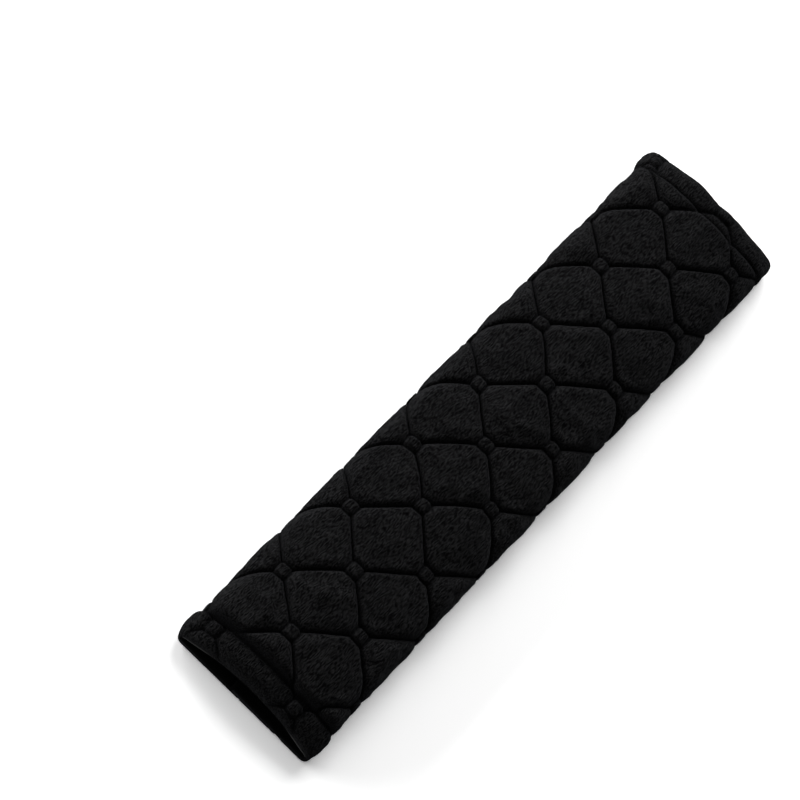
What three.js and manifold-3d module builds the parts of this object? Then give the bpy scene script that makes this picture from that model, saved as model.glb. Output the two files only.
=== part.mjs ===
// A padded sleeve for a car's shoulder belt: plush quilted over foam, closed underneath by a hook and loop tape.
// Millimetres. X runs along the belt, Y across it and Z up; the pad lies on its closing flap at Z = 0.
import * as THREE from "three";
import { mergeVertices } from "three/addons/utils/BufferGeometryUtils.js";
import Module from "manifold-3d";

// Belt passage
const PASSAGE_WIDTH = 48.5;
const PASSAGE_HEIGHT = 5;
const CROWN = 2.5; // rise of the top's middle over its shoulders, the same inside and outside

const PAD_LENGTH = 290;

// Layers, from the passage outwards
const LINING_THICKNESS = 0.6;
const FOAM_THICKNESS = 2.4;
const STITCHED_COVER = 4; // cover and wadding where a stitch line pulls them down
const TOP_PUFF = 3.4; // rise of a cell's fullest point over its stitch lines, on top
const SIDE_PUFF = 1.15; // and at the side
const UNDERSIDE_CREASE = 0.5; // depth of the creases pressed flat underneath
const LAYER_GAP = 0.3;

// Closing flaps and tapes
const FLAP_THICKNESS = 1;
const FLAP_OVERLAP = 20.6; // how far the two flaps lie over each other
const FLAP_ROOT_Y = 5; // inner face of the wall that the outer flap grows from
const FLAP_EDGE_GAP = 1.5; // from the inner flap's free edge to that wall
const EDGE_WALL = 1.2; // cover turned up over the foam's long edges
const TAPE_THICKNESS = 0.6;
const TAPE_WIDTH = 18;
const TAPE_INSET = 7; // tape's end to the pad's end

// Hems
const HEM_WIDTH = 12;
const MOUTH_MARGIN = 2.5; // mouth's edge to the fullest point of the side: with no foam the sleeve lies wider
const HEM_OFFSET = 2.3; // passage to the outside of the hem band; underneath, the band rests on the floor
const HEM_CREASE_OFFSET = 1.8; // passage to the bottom of the crease behind the band
const HEM_EDGE_RADIUS = 1;
const HEM_SHOULDER = 8; // length over which the cover drops into the crease
const END_CELL_SHOULDER = 14; // length over which the end cells round off
const FOAM_TO_CREASE = 6;
const LINING_INSET = 1.5; // lining's end to the pad's end

// Quilting: stitch lines cross at every second corner of a grid, with a raised square tab at each crossing
const QUILT_STEP_X = 18.6;
const QUILT_STEP_S = 19.4; // around the section
const QUILT_START_X = -8.9; // a crossing on the pad's centre line
const TAB_SHARE = 0.13; // half a tab, as a share of a step
const TAB_CREASE_SHARE = 0.19;
const TAB_RISE = 0.35; // tab's height, as a share of the fullest point's
const CELL_SHOULDER = 0.6; // from a stitch line to where a cell is full, as a share of a step
const PUFF_SHARES = [0.4, 0.6]; // further mesh lines between two crossings, as shares of a step
const ROUND_STEPS = 8; // facets in each rounded stretch of a plain section

// What follows from them
const HALF_LENGTH = PAD_LENGTH / 2;
const CREASE_X = HALF_LENGTH - HEM_WIDTH;
const FOAM_END_X = CREASE_X - FOAM_TO_CREASE;
const HOOK_Z = FLAP_THICKNESS + LAYER_GAP;
const LOOP_Z = HOOK_Z + TAPE_THICKNESS + LAYER_GAP;
const INNER_FLAP_Z = LOOP_Z + TAPE_THICKNESS + LAYER_GAP;
const PASSAGE_Z = INNER_FLAP_Z + FLAP_THICKNESS + LAYER_GAP + LINING_THICKNESS;
const LINING_OUTSIDE = LINING_THICKNESS + LAYER_GAP;
const COVER_INSIDE = LINING_OUTSIDE + FOAM_THICKNESS + LAYER_GAP;
const STITCH_OFFSET = COVER_INSIDE + STITCHED_COVER;
const PAD_WIDTH = PASSAGE_WIDTH + 2 * (STITCH_OFFSET + SIDE_PUFF);
const PAD_HEIGHT = PASSAGE_Z + PASSAGE_HEIGHT + STITCH_OFFSET + TOP_PUFF;
const MOUTH_WIDTH = PAD_WIDTH - 2 * MOUTH_MARGIN;
const INNER_FLAP_EDGE_Y = FLAP_ROOT_Y - FLAP_EDGE_GAP;
const OUTER_FLAP_EDGE_Y = INNER_FLAP_EDGE_Y - FLAP_OVERLAP;
const BAY_EDGE_Y = OUTER_FLAP_EDGE_Y - LAYER_GAP;
const TAPE_Y = (INNER_FLAP_EDGE_Y + OUTER_FLAP_EDGE_Y) / 2;

const wasm = await Module();
wasm.setup();

// A rounded section: flat underneath, round at both edges and gently crowned on top.
function makeSection(width, height, floorZ) {
  const edge = (height - CROWN) / 2;
  const flat = width / 2 - edge;
  const lean = 2 * Math.atan(CROWN / flat);
  const topRadius = edge + flat / Math.sin(lean);
  const topCentreZ = floorZ + height - topRadius;
  return { edge, flat, lean, topRadius, topCentreZ, floorZ };
}

const passage = makeSection(PASSAGE_WIDTH, PASSAGE_HEIGHT, PASSAGE_Z);
const mouth = makeSection(MOUTH_WIDTH, PASSAGE_HEIGHT, PASSAGE_Z);
const outside = makeSection(PAD_WIDTH, PAD_HEIGHT, 0);
const TOP_ARC = outside.lean * outside.topRadius;
const SIDE_ARC = (Math.PI - outside.lean) * outside.edge;

// A point of a section: turn 0 is the middle of the top, 1 and 2 are the ends of the edge's arc, and 3 is the
// middle of the underside. A negative turn is the same place on the other side.
function sectionPoint(section, turn, offset) {
  const side = Math.sign(turn) || 1;
  const t = Math.abs(turn);
  if (t <= 1) {
    const angle = t * section.lean;
    const radius = section.topRadius + offset;
    return [side * radius * Math.sin(angle), section.topCentreZ + radius * Math.cos(angle)];
  }
  if (t <= 2) {
    const angle = section.lean + (t - 1) * (Math.PI - section.lean);
    const radius = section.edge + offset;
    const centreZ = section.floorZ + section.edge;
    return [side * (section.flat + radius * Math.sin(angle)), centreZ + radius * Math.cos(angle)];
  }
  return [side * section.flat * (3 - t), section.floorZ - offset];
}

// The point at a share of the way from one point to another.
function blend(from, to, share) {
  return from.map((value, i) => THREE.MathUtils.lerp(value, to[i], share));
}

// A point at an offset from the passage, which widens into the mouth where the foam ends.
function passagePoint(x, turn, offset) {
  const widening = THREE.MathUtils.clamp((Math.abs(x) - FOAM_END_X) / FOAM_TO_CREASE, 0, 1);
  return blend(sectionPoint(passage, turn, offset), sectionPoint(mouth, turn, offset), widening);
}

// The turn at a length of fabric from the middle of the top, measured over the cells.
function turnAt(length) {
  const side = Math.sign(length) || 1;
  const s = Math.abs(length);
  if (s <= TOP_ARC) return (side * s) / TOP_ARC;
  if (s <= TOP_ARC + SIDE_ARC) return side * (1 + (s - TOP_ARC) / SIDE_ARC);
  return side * Math.min(3, 2 + (s - TOP_ARC - SIDE_ARC) / outside.flat);
}

// A quarter circle's rise from 0 at the foot to 1.
function roundRise(share) {
  const left = 1 - THREE.MathUtils.clamp(share, 0, 1);
  return Math.sqrt(1 - left * left);
}

// Height of the quilting at a place on the fabric, from 0 on a stitch line to 1 at a cell's fullest point.
function quiltHeight(x, s) {
  const a = (x - QUILT_START_X) / QUILT_STEP_X;
  const b = s / QUILT_STEP_S;
  const nearest = (value) => value - 2 * Math.round(value / 2);
  const alongOne = Math.abs(nearest(a - b));
  const alongOther = Math.abs(nearest(a + b));
  const tabDistance = Math.min(
    Math.max(Math.abs(nearest(a)), Math.abs(nearest(b))),
    Math.max(Math.abs(nearest(a + 1)), Math.abs(nearest(b + 1))),
  );
  const slack = 1e-6;
  if (tabDistance < TAB_SHARE + slack) return TAB_RISE;
  const rises = [alongOne, alongOther, tabDistance - TAB_CREASE_SHARE];
  return rises.reduce((height, away) => height * roundRise(away / CELL_SHOULDER), 1);
}

// How far a turn has come round to the underside, from 0 at the side to 1 where the pad lies flat.
function underShare(turn) {
  return THREE.MathUtils.smoothstep(Math.abs(turn), 1.5, 2);
}

// Outside of a hem band that stands at an offset from the passage at its top and sides.
function hemPoint(x, turn, offset) {
  const underOffset = PASSAGE_Z - (HEM_OFFSET - offset);
  return passagePoint(x, turn, THREE.MathUtils.lerp(offset, underOffset, underShare(turn)));
}

// Outer surface of the quilted body at a place on the fabric.
function bodyPoint(x, s) {
  const turn = turnAt(s);
  const toCrease = CREASE_X - Math.abs(x);
  const under = underShare(turn);
  const underOffset = PASSAGE_Z - UNDERSIDE_CREASE;
  const stitched = sectionPoint(passage, turn, THREE.MathUtils.lerp(STITCH_OFFSET, underOffset, under));
  const crease = hemPoint(CREASE_X, turn, HEM_CREASE_OFFSET);
  const low = blend(crease, stitched, roundRise(toCrease / HEM_SHOULDER));
  const full = sectionPoint(outside, turn, 0);
  return blend(low, full, quiltHeight(x, s) * roundRise(toCrease / END_CELL_SHOULDER));
}

// Mesh lines on the quilting's own grid, so that every stitch line runs along edges of the mesh.
function gridLines(start, step, low, high) {
  const shares = [0, TAB_SHARE, TAB_CREASE_SHARE, ...PUFF_SHARES];
  shares.push(1 - TAB_CREASE_SHARE, 1 - TAB_SHARE);
  shares.sort((p, q) => p - q);
  const lines = [];
  const first = Math.floor((low - start) / step);
  const last = Math.ceil((high - start) / step);
  for (let k = first; k <= last; k++) {
    for (const share of shares) {
      const place = start + (k + share) * step;
      if (place >= low && place <= high) lines.push(place);
    }
  }
  return lines;
}

// Rings of the cover's outside: hem bands at both ends and the quilted body between them.
function coverRings() {
  const arcSteps = 4;
  const edgeX = HALF_LENGTH - HEM_EDGE_RADIUS;
  const hemStations = [[CREASE_X, HEM_CREASE_OFFSET]];
  hemStations.push([CREASE_X + HEM_EDGE_RADIUS, HEM_OFFSET - 0.2 * HEM_EDGE_RADIUS]);
  hemStations.push([(CREASE_X + edgeX) / 2, HEM_OFFSET]);
  for (let i = 0; i <= arcSteps; i++) {
    const angle = (i / arcSteps) * (Math.PI / 2);
    const drop = HEM_EDGE_RADIUS * (1 - Math.cos(angle));
    hemStations.push([edgeX + HEM_EDGE_RADIUS * Math.sin(angle), HEM_OFFSET - drop]);
  }
  const lastBodyX = CREASE_X - 1.2 * HEM_EDGE_RADIUS;
  const bodyEnd = CREASE_X - 4 * HEM_EDGE_RADIUS;
  const body = [-lastBodyX, ...gridLines(QUILT_START_X, QUILT_STEP_X, -bodyEnd, bodyEnd), lastBodyX];
  const underside = TOP_ARC + SIDE_ARC + outside.flat;
  const reach = Math.floor(underside / QUILT_STEP_S) * QUILT_STEP_S;
  const around = gridLines(0, QUILT_STEP_S, -reach, reach);
  around.push(underside);
  const ring = (x, place) => around.map((s) => new THREE.Vector3(x, ...place(s)));
  const hemRing = (sign, [x, offset]) =>
    ring(sign * x, (s) => hemPoint(x, turnAt(s), offset));
  return {
    around,
    rings: [
      ...hemStations.toReversed().map((station) => hemRing(-1, station)),
      ...body.map((x) => ring(x, (s) => bodyPoint(x, s))),
      ...hemStations.map((station) => hemRing(1, station)),
    ],
  };
}

// Whether the stitch line nearest to a place runs towards +X as it goes round.
function stitchRunsUp(x, s) {
  const column = Math.floor((x - QUILT_START_X) / QUILT_STEP_X);
  return (column + Math.floor(s / QUILT_STEP_S)) % 2 === 0;
}

// Closed skin over a row of rings; each face is split the way that runsUp says for its middle.
function skinOver({ around, rings }, runsUp) {
  const count = around.length;
  const points = rings.flat();
  const index = [];
  for (let r = 0; r + 1 < rings.length; r++) {
    for (let c = 0; c < count; c++) {
      const next = (c + 1) % count;
      const [p, q, u, v] = [r * count + c, r * count + next, (r + 1) * count + c, (r + 1) * count + next];
      const middleX = (points[p].x + points[u].x) / 2;
      const middleS = next ? (around[c] + around[next]) / 2 : around[c];
      if (runsUp(middleX, middleS)) index.push(p, v, q, p, u, v);
      else index.push(p, u, q, q, u, v);
    }
  }
  const lastRing = (rings.length - 1) * count;
  for (let c = 1; c + 1 < count; c++) {
    index.push(0, c, c + 1);
    index.push(lastRing, lastRing + c + 1, lastRing + c);
  }
  const geometry = new THREE.BufferGeometry().setFromPoints(points);
  geometry.setIndex(index);
  return geometry;
}

// A flat outline in Y and Z, drawn along X between two places.
function prismAlongX(outline, fromX, toX) {
  const shape = new THREE.Shape(outline.map(([y, z]) => new THREE.Vector2(y, z)));
  const geometry = new THREE.ExtrudeGeometry(shape, { depth: toX - fromX, bevelEnabled: false });
  const yAxis = new THREE.Vector3(0, 1, 0);
  const zAxis = new THREE.Vector3(0, 0, 1);
  const xAxis = new THREE.Vector3(1, 0, 0);
  geometry.applyMatrix4(new THREE.Matrix4().makeBasis(yAxis, zAxis, xAxis));
  return geometry.translate(fromX, 0, 0);
}

// Smooth sleeve at an offset from the passage, between two ends at the same distance from the middle.
function sleeve(offset, halfLength) {
  const around = [];
  for (let i = 1 - 3 * ROUND_STEPS; i <= 3 * ROUND_STEPS; i++) around.push(i / ROUND_STEPS);
  const stations = [FOAM_END_X, CREASE_X, halfLength].filter((x) => x <= halfLength);
  const places = [...stations.toReversed().map((x) => -x), ...stations];
  const rings = places.map((x) =>
    around.map((turn) => new THREE.Vector3(x, ...passagePoint(x, turn, offset))),
  );
  return solidOf(skinOver({ around, rings }, () => true));
}

function solidOf(geometry) {
  geometry.deleteAttribute("normal");
  geometry.deleteAttribute("uv");
  const merged = mergeVertices(geometry, 1e-4);
  const vertProperties = merged.attributes.position.array;
  const triVerts = new Uint32Array(merged.index.array);
  return new wasm.Manifold(new wasm.Mesh({ numProp: 3, vertProperties, triVerts }));
}

function geometryOf(solid) {
  const mesh = solid.getMesh();
  const geometry = new THREE.BufferGeometry();
  geometry.setAttribute("position", new THREE.BufferAttribute(mesh.vertProperties, 3));
  geometry.setIndex(new THREE.BufferAttribute(mesh.triVerts, 1));
  geometry.computeVertexNormals();
  return geometry;
}

// A straight-sided block along X, given by its lowest and highest Y and Z.
function bar(halfLength, lowY, highY, lowZ, highZ) {
  const outline = [
    [lowY, lowZ],
    [highY, lowZ],
    [highY, highZ],
    [lowY, highZ],
  ];
  return prismAlongX(outline, -halfLength, halfLength);
}

const pastEnd = HALF_LENGTH + HEM_WIDTH;
const belowPad = -PAD_HEIGHT;
const passageMiddleZ = PASSAGE_Z + PASSAGE_HEIGHT / 2;

// Quilted cover: the skin, hollowed for foam and lining, opened underneath and given its two flaps.
function makeCover() {
  const liningFloor = PASSAGE_Z - LINING_OUTSIDE;
  const underFoam = solidOf(
    bar(pastEnd, BAY_EDGE_Y - EDGE_WALL, FLAP_ROOT_Y + EDGE_WALL, belowPad, liningFloor),
  );
  const foamSpace = sleeve(COVER_INSIDE, FOAM_END_X + LAYER_GAP).subtract(underFoam);
  const flapBay = solidOf(bar(pastEnd, BAY_EDGE_Y, FLAP_ROOT_Y, belowPad, passageMiddleZ));
  const innerFlap = solidOf(
    bar(
      HALF_LENGTH - HEM_EDGE_RADIUS,
      BAY_EDGE_Y - EDGE_WALL / 2,
      INNER_FLAP_EDGE_Y,
      INNER_FLAP_Z,
      INNER_FLAP_Z + FLAP_THICKNESS,
    ),
  );
  const outerFlap = solidOf(
    bar(HALF_LENGTH, OUTER_FLAP_EDGE_Y, FLAP_ROOT_Y + EDGE_WALL / 2, 0, FLAP_THICKNESS),
  );
  return solidOf(skinOver(coverRings(), stitchRunsUp))
    .subtract(foamSpace)
    .subtract(sleeve(LINING_OUTSIDE, pastEnd))
    .subtract(flapBay)
    .add(innerFlap)
    .add(outerFlap);
}

// Foam sheet wrapped round the lining, stopping short of the flaps.
function makeFoam() {
  const lowY = BAY_EDGE_Y - EDGE_WALL - LAYER_GAP;
  const highY = FLAP_ROOT_Y + EDGE_WALL + LAYER_GAP;
  const opening = solidOf(bar(pastEnd, lowY, highY, belowPad, passageMiddleZ));
  return sleeve(COVER_INSIDE - LAYER_GAP, FOAM_END_X)
    .subtract(sleeve(LINING_OUTSIDE, pastEnd))
    .subtract(opening);
}

// Lining of the passage, open along the slit where the pad is laid round the belt.
function makeLining() {
  const slit = solidOf(
    bar(pastEnd, INNER_FLAP_EDGE_Y, FLAP_ROOT_Y + LAYER_GAP, belowPad, passageMiddleZ),
  );
  return sleeve(LINING_THICKNESS, HALF_LENGTH - LINING_INSET)
    .subtract(sleeve(0, pastEnd))
    .subtract(slit);
}

function makeTape(lowZ) {
  const half = TAPE_WIDTH / 2;
  return bar(HALF_LENGTH - TAPE_INSET, TAPE_Y - half, TAPE_Y + half, lowZ, lowZ + TAPE_THICKNESS);
}

const plush = new THREE.MeshStandardMaterial({ color: 0x17171a, roughness: 0.95, metalness: 0 });
const foam = new THREE.MeshStandardMaterial({ color: 0x3b3b3d, roughness: 0.9, metalness: 0 });
const knit = new THREE.MeshStandardMaterial({ color: 0x1c1c1e, roughness: 0.85, metalness: 0 });
const nylon = new THREE.MeshStandardMaterial({ color: 0x101011, roughness: 0.6, metalness: 0 });

function addPiece(group, name, geometry, material) {
  const mesh = new THREE.Mesh(geometry, material);
  mesh.name = name;
  group.add(mesh);
}

const pad = new THREE.Group();
addPiece(pad, "quilted_cover", geometryOf(makeCover()), plush);
addPiece(pad, "foam_core", geometryOf(makeFoam()), foam);
addPiece(pad, "inner_lining", geometryOf(makeLining()), knit);
addPiece(pad, "hook_tape", makeTape(HOOK_Z), nylon);
addPiece(pad, "loop_tape", makeTape(LOOP_Z), nylon);

export default pad;
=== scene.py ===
import math

import bpy
import numpy as np
from mathutils import Matrix, Vector
from mathutils.geometry import tessellate_polygon


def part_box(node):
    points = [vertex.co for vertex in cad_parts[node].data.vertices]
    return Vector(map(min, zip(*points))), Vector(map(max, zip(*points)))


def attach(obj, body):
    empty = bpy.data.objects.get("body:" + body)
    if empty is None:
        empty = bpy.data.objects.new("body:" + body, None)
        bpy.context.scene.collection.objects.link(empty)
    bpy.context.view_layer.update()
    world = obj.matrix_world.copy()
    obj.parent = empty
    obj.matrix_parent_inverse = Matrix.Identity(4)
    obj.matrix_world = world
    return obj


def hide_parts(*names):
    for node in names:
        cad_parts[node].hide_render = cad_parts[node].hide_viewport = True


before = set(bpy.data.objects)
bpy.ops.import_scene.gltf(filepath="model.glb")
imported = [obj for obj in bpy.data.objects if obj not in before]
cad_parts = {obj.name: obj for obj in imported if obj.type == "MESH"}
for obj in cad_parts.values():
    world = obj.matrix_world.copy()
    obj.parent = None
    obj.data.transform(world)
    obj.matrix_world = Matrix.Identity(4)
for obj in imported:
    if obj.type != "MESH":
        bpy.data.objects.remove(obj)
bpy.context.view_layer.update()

# Metres throughout. X runs along the belt, Y across it and Z up, as in the frame.
_, cover_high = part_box("quilted_cover")
lining_low, lining_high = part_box("inner_lining")
_, foam_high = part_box("foam_core")
hook_low, hook_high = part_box("hook_tape")
_, loop_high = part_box("loop_tape")

# Camera: fitted to the quilting's crossings and the pad's outline in the photograph
CAMERA_ELEVATION = math.radians(61.66)
CAMERA_TURN = math.radians(0.92)
CAMERA_ROLL = math.radians(43.5)
CAMERA_DISTANCE = 1.457
FOCAL_PIXELS = 3859
PHOTO_PIXELS = 800
ORIGIN_PIXEL = (483.64, 446.66)  # where the middle of the underside falls in the photograph
SENSOR_WIDTH = 36  # millimetres

# Floor and light: to the camera the floor is brighter than white, so that only close shadows show
FLOOR_GAP = 0.0001  # the floor lies this far below the pad
FLOOR_HALF = 4.0
FLOOR_COLOUR = 0.8
FLOOR_SEEN_COLOUR = 1.55
FLOOR_GLOW = 0.1  # its own light near the pad; it rises to 1 where the lamps no longer reach
GLOW_RISE = (0.35, 0.9)  # distances from the middle between which it rises
FILL_STRENGTH = 0.17
KEY_PLACE, KEY_SIZE, KEY_POWER = (1.35, 0.35, 1.0), (1.3, 1.3), 26
SIDE_PLACE, SIDE_SIZE, SIDE_POWER = (-0.1, 1.7, 0.52), (2.4, 0.5), 40

# Section
CROWN = 0.0025  # rise of the top's middle over its shoulders
LINING_THICKNESS = 0.0006
LAYER_GAP = 0.0003
FLAP_THICKNESS = 0.001
EDGE_WALL = 0.0012
STITCHED_COVER = 0.004  # cover and wadding where a stitch line pulls them down
HALF_LENGTH = cover_high.x
PASSAGE_Z = lining_low.z + LINING_THICKNESS
PASSAGE_HEIGHT = lining_high.z - LINING_THICKNESS - PASSAGE_Z
LINING_OUTSIDE = LINING_THICKNESS + LAYER_GAP
COVER_INSIDE = foam_high.z - PASSAGE_Z - PASSAGE_HEIGHT + LAYER_GAP
STITCH_OFFSET = COVER_INSIDE + STITCHED_COVER
PASSAGE_WIDTH = 2 * (foam_high.y - COVER_INSIDE + LAYER_GAP)
MOUTH_WIDTH = 2 * (lining_high.y - LINING_THICKNESS)
FOAM_END_X = foam_high.x
CREASE_X = 0.133
INNER_FLAP_Z = loop_high.z + LAYER_GAP
OUTER_FLAP_EDGE_Y = -0.0171
INNER_FLAP_EDGE_Y = 0.0035
FLAP_ROOT_Y = 0.005
BAY_EDGE_Y = OUTER_FLAP_EDGE_Y - LAYER_GAP  # edge of the bay that the outer flap lies in
FLAP_EDGE_ROUND = 0.0004
FLAP_FACE = 0.6  # the flap shows open pile up to this share of its thickness
BAY_FOOT = 0.0006  # height of the fold along the bay's edge
BAY_CLOSING = 0.7  # share of the bay's gap that is taken up in the mouths' rims

# Quilting: stitch lines of two families, slightly skewed on the pad as they were sewn
QUILT_STEP_X = 0.01861
QUILT_STEP_S = 0.01943
SKEW_X = 0.00105  # drift along the pad for one step round it
SKEW_S = 0.00063  # drift round the pad for one step along it
CROSSING_X = 0.0459  # one crossing of the stitch lines
CROSSING_S = 0.0177
TAB_HALF = 0.0029
TAB_RISE = 0.0019
TAB_ROUND = 0.0013
TAB_POWER = 5  # squareness of the tabs
TAB_FOOT = 0.7  # by a tab, a cell rises over this share of its shoulder
TAB_PRESSED_SHADE = 1.5  # on a tab, the band of pressed pile and painted crease shade is narrower by this factor
GROOVE_WIDTH = 0.0005
GROOVE_DEPTH = 0.0008
CELL_SHOULDER = 0.0036
CELL_DOME = 0.0132  # about half the distance between two stitch lines of one family
DOME_SHARE = 0.8  # share of a cell's height that is dome; the rest is the fold at its edge
FOLD_POWER = 2.3  # a fold rises more steeply than a quarter circle,
ROUND_POWER = 2  # which has this power
FULLNESS = 0.05  # by which one cell is plumper than another
RIPPLE = 0.00012  # height of the small unevenness of the cells
PRESSED_SHADE_WIDTH = 0.0007  # width over which the pile is pressed along a stitch line and darkened, partly as painted shade of the crease
NEAR_CREASE_SHADE_WIDTH = 0.0013  # width of the painted shade in the hems' creases, where the pile is also pressed
FAR_CREASE_SHADE_WIDTH = 0.002
LINE_DRIFT = 0.0004  # how far the stitch lines wander
LINE_PULL = 1.3  # draws the mesh's points towards the stitch lines
PULL_RISE = (0.0006, 0.006)  # distances from the hems' creases between which that pull sets in
PULL_END_X = 0.137  # it fades out from here to the rolled ends,
PULL_MARGIN = 0.003  # and this far to each side of where the underside starts
UNDER_STITCH = 0.0007  # underneath, the stitch lines lie this high over the floor,
UNDER_FLATTENING = 0.75  # the relief is flatter by this share
UNDER_OPENING = 0.6  # and the pile's pressed darkening and painted shade weaker by this one

# The pattern on the hem bands, against the body's: the fabric is folded and gathered there
NEAR_HEM_SLIP = 0.0017
NEAR_HEM_SKEW = 0.066
NEAR_HEM_GATHER = 0.16
FAR_HEM_SLIP = 0.0018
FAR_HEM_GATHER = 0.39
FAR_HEM_GATHER_WIDTH = 0.0245

# Hem
HEM_LOW = 0.0011  # the band's rolled end lies this far outside the passage
HEM_HIGH = 0.0035
HEM_TOP_PUFF = 0.003  # the band's top stands this much prouder than its sides
CREASE_TOP_PUFF = 0.002  # and so does the crease behind it
HEM_END_ROUND = 0.0062
HEM_RISE = 0.34  # the band is full from this share of its width on
HEM_POWER = 2.4
HEM_LINE_DEPTH = 0.0021  # depth of the dents that the stitch lines make in the band
HEM_UNDER_ROLL = 0.0012  # the band's end lifts off the floor by this much
UNDER_CREASE = 0.0005
UNDER_CREASE_WIDTH = 0.0012
HEM_CREASE_OFFSET = 0.0014
BODY_SHOULDER = 0.0042
END_CELL_SHOULDER = 0.005
END_SHADE_SPAN = (0.006, 0.002)  # painted shade: at the sides and lower edges, the rolled ends darken between these distances from the ends
HEM_CLOSING = (0.1385, 0.1415)  # where the flaps thicken into the closed rim of the mouth
HEM_GAP = 0.0003
MOUTH_SAG = 0.2  # the mouths' walls sink towards the sides by this share of their height
LIP_BACK = 0.0018  # the middle of the near mouth's upper lip lies this far behind its lower one
LIP_WAVE = 0.0003

LINING_INSET = 0.0001
LINING_HIGHLIGHT_WIDTH = 0.0008  # width of the painted highlight along the lining's cut edge
LINING_SLIT = 0.0001

# Turns round a section, as section_point counts them, between which something fades out or in
TOP_FADE = (0.7, 1.4)
UNDER_RISE = (1.5, 2.0)
END_SHADE_RISE = (1.1, 1.8)
GRAIN_FADE = (1.6, 2.0)
EDGE_HIGHLIGHT_FADE = (1.0, 1.5)

# Meshes
MESH_STEP = 0.0007
UNDERSIDE_STEP = 0.0014
INSIDE_STEP = 0.004
END_STEP = 0.00044
SLEEVE_STEP = 0.004
SLEEVE_END_RINGS = (0, 0.0007, 0.0014, 0.0022, 0.003)  # distances from the ends of foam and lining
LINING_COLUMNS = 110
FOAM_COLUMNS = 120
# First turn, last turn and number of the turns at which the cover's inside is drawn
INSIDE_TURNS = ((2.73, 2.0, 3), (1.85, 1.0, 6), (0.7, -0.7, 5), (-1.0, -1.85, 6), (-2.0, -2.19, 2))

# Seeded unevenness
RANDOM_SEED = 7
PITCH_SPREAD = (0.7, 1.6)  # the waves' own pitches, as shares of the one asked for
DRIFT_X_PITCH = 0.045
DRIFT_S_PITCH = 0.04
FULLNESS_PITCH = 0.03
RIPPLE_PITCH = 0.009
LIP_PITCH = 0.016
GRAIN = 0.00006  # height of the pile's own roughness
GRAIN_OWN, GRAIN_NEXT = 0.5, 0.35  # shares of a point's own draw and of its neighbours' draws
GRAIN_END = 1.2  # the grain falls off where rolled_in is below 1 over this

# Cloth simulation of the stitched-down face, on a coarser mesh and at a larger scale
SIM_STEP = 0.0018
SIM_SCALE = 20
SIM_FRAMES = 16
SIM_PIN_WIDTH = 0.0012  # the fabric is held within this of the stitch lines
SIM_PIN_ENDS = 0.002  # and of the hems' creases
SIM_CAP = 0.0009  # furthest that it may move
SIM_PRESSURE = 0.4
SIM_SLACK = 0.015  # share by which the fabric is longer than the flat wadding

# Sewing that holds the hook tape to the outer flap
TAPE_Y = (hook_low.y + hook_high.y) / 2
SEAM_TO_MIDDLE = 0.0078
SEAM_Y = (TAPE_Y - SEAM_TO_MIDDLE, TAPE_Y + SEAM_TO_MIDDLE)
SEAM_GROOVE = 0.00045
SEAM_HALF = 0.0007
SEAM_SHAPE = ((SEAM_HALF, 0), (0, SEAM_GROOVE), (-SEAM_HALF, 0))  # place across it, depth
STITCH_LENGTH = 0.0026
STITCH_PITCH = 0.0034
STITCH_RADIUS = 0.0002
STITCH_INSET = 0.003  # the rows start and end this far inside the tape
STITCH_SIDES = 6
STITCH_RINGS = (-1.0, -0.8, 0.8, 1.0)  # from one end of a stitch to the other
STITCH_TAPER = 0.4


def make_section(width, height, floor_z):
    """A rounded section: flat underneath, round at both edges and gently crowned on top."""
    edge = (height - CROWN) / 2
    flat = width / 2 - edge
    lean = 2 * math.atan(CROWN / flat)
    top_radius = edge + flat / math.sin(lean)
    return {
        "edge": edge,
        "flat": flat,
        "lean": lean,
        "top_radius": top_radius,
        "top_z": floor_z + height - top_radius,
        "floor_z": floor_z,
    }


PASSAGE = make_section(PASSAGE_WIDTH, PASSAGE_HEIGHT, PASSAGE_Z)
MOUTH = make_section(MOUTH_WIDTH, PASSAGE_HEIGHT, PASSAGE_Z)
OUTSIDE = make_section(2 * cover_high.y, cover_high.z, 0)
TOP_ARC = OUTSIDE["lean"] * OUTSIDE["top_radius"]
SIDE_ARC = (math.pi - OUTSIDE["lean"]) * OUTSIDE["edge"]


def section_point(section, turn, offset):
    """Y and Z on a section, by its turn.

    Turn 0 is the middle of the top, 1 and 2 are the edge's ends, 3 is the middle underneath.
    """
    side = np.where(turn < 0, -1.0, 1.0)
    t = np.abs(turn)
    top_angle = np.minimum(t, 1) * section["lean"]
    top_radius = section["top_radius"] + offset
    edge_angle = section["lean"] + (np.clip(t, 1, 2) - 1) * (math.pi - section["lean"])
    edge_radius = section["edge"] + offset
    y = np.where(
        t <= 1,
        top_radius * np.sin(top_angle),
        np.where(
            t <= 2,
            section["flat"] + edge_radius * np.sin(edge_angle),
            section["flat"] * (3 - t),
        ),
    )
    z = np.where(
        t <= 1,
        section["top_z"] + top_radius * np.cos(top_angle),
        np.where(
            t <= 2,
            section["floor_z"] + section["edge"] + edge_radius * np.cos(edge_angle),
            section["floor_z"] - offset,
        ),
    )
    return np.stack(np.broadcast_arrays(side * y, z), -1)


def turn_at(length):
    """The turn at a length of fabric from the middle of the top."""
    s = np.abs(length)
    on_side = 1 + (s - TOP_ARC) / SIDE_ARC
    below = 2 + (s - TOP_ARC - SIDE_ARC) / OUTSIDE["flat"]
    turn = np.where(s <= TOP_ARC, s / TOP_ARC, np.where(on_side <= 2, on_side, below))
    return np.sign(length) * turn


def smooth(low, high, value):
    """0 below low, 1 above high, and an even passage between."""
    t = np.clip((value - low) / (high - low), 0, 1)
    return t * t * (3 - 2 * t)


def blend(start, end, share):
    return start + (end - start) * np.asarray(share)[..., None]


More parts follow.
